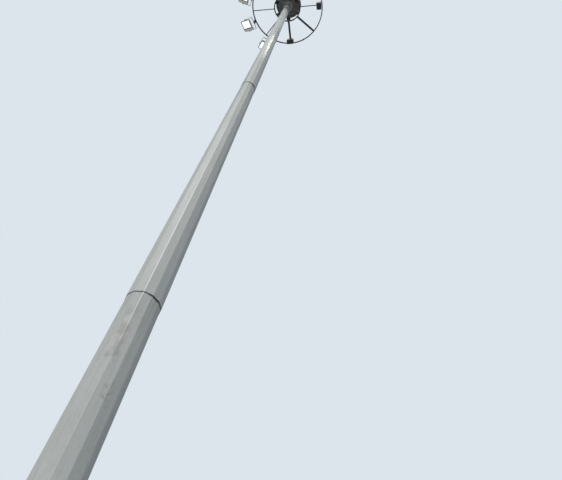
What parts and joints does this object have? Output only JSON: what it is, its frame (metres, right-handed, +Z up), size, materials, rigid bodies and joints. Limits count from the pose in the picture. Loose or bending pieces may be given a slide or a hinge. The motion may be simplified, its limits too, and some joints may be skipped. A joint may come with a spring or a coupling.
{
  "type": "high mast floodlight tower",
  "caption": "Tapered twelve-sided steel mast on a bolted flange, with a canopied rope head and a spoked ring carriage of floodlights that slides down the mast on its ropes.",
  "frame": {"origin": "centre of the base flange's underside, on the mast's axis", "axes": "+Z up along the mast; the door faces -Y, the side that the picture looks from; +X to the right seen from there"},
  "size_m": [2.5252, 2.7989, 20.78],
  "materials": {
    "galvanised_steel": "hot-dip galvanised, weathered",
    "carriage_paint": "dark matt paint",
    "head_steel": "dark weathered paint",
    "pulley_steel": "turned and weathered",
    "canopy_paint": "dark green-grey paint, rusty inside",
    "wire_rope": "stranded stainless steel",
    "lamp_casting": "powder-coated casting",
    "lamp_glass": "clear, lit",
    "gear_box_paint": "dark powder coat",
    "roller_rubber": "worn rubber"
  },
  "bodies": {
    "mast": {"base_flange": "galvanised_steel", "base_gussets": "galvanised_steel", "lower_section": "galvanised_steel", "door_frame": "galvanised_steel", "door": "galvanised_steel", "middle_section": "galvanised_steel", "upper_section": "galvanised_steel", "head_flange": "head_steel", "head_arms": "head_steel", "head_pulleys": "pulley_steel", "hoist_ropes": "wire_rope", "rope_falls": "wire_rope", "dock_posts": "head_steel", "canopy": "canopy_paint", "lightning_rod": "galvanised_steel"},
    "carriage": {"gear_box_1": "gear_box_paint", "gear_box_2": "gear_box_paint", "guide_rollers": "roller_rubber", "inner_ring": "carriage_paint", "lamp_1_glass": "lamp_glass", "lamp_1_housing": "lamp_casting", "lamp_1_yoke": "carriage_paint", "lamp_2_glass": "lamp_glass", "lamp_2_housing": "lamp_casting", "lamp_2_yoke": "carriage_paint", "lamp_3_glass": "lamp_glass", "lamp_3_housing": "lamp_casting", "lamp_3_yoke": "carriage_paint", "lamp_4_glass": "lamp_glass", "lamp_4_housing": "lamp_casting", "lamp_4_yoke": "carriage_paint", "lamp_5_glass": "lamp_glass", "lamp_5_housing": "lamp_casting", "lamp_5_yoke": "carriage_paint", "outer_ring": "carriage_paint", "roller_forks": "carriage_paint", "rope_lugs": "carriage_paint", "spoke_1": "carriage_paint", "spoke_2": "carriage_paint", "spoke_3": "carriage_paint", "spoke_4": "carriage_paint", "spoke_5": "carriage_paint", "spoke_6": "carriage_paint", "spoke_7": "carriage_paint", "spoke_8": "carriage_paint"}
  },
  "joints": [
    {"name": "carriage_slide", "type": "slide", "parent": "mast", "child": "carriage", "axis": [0, 0, 1], "range_m": [-17.5, 0], "deforming": ["rope_falls"]}
  ]
}
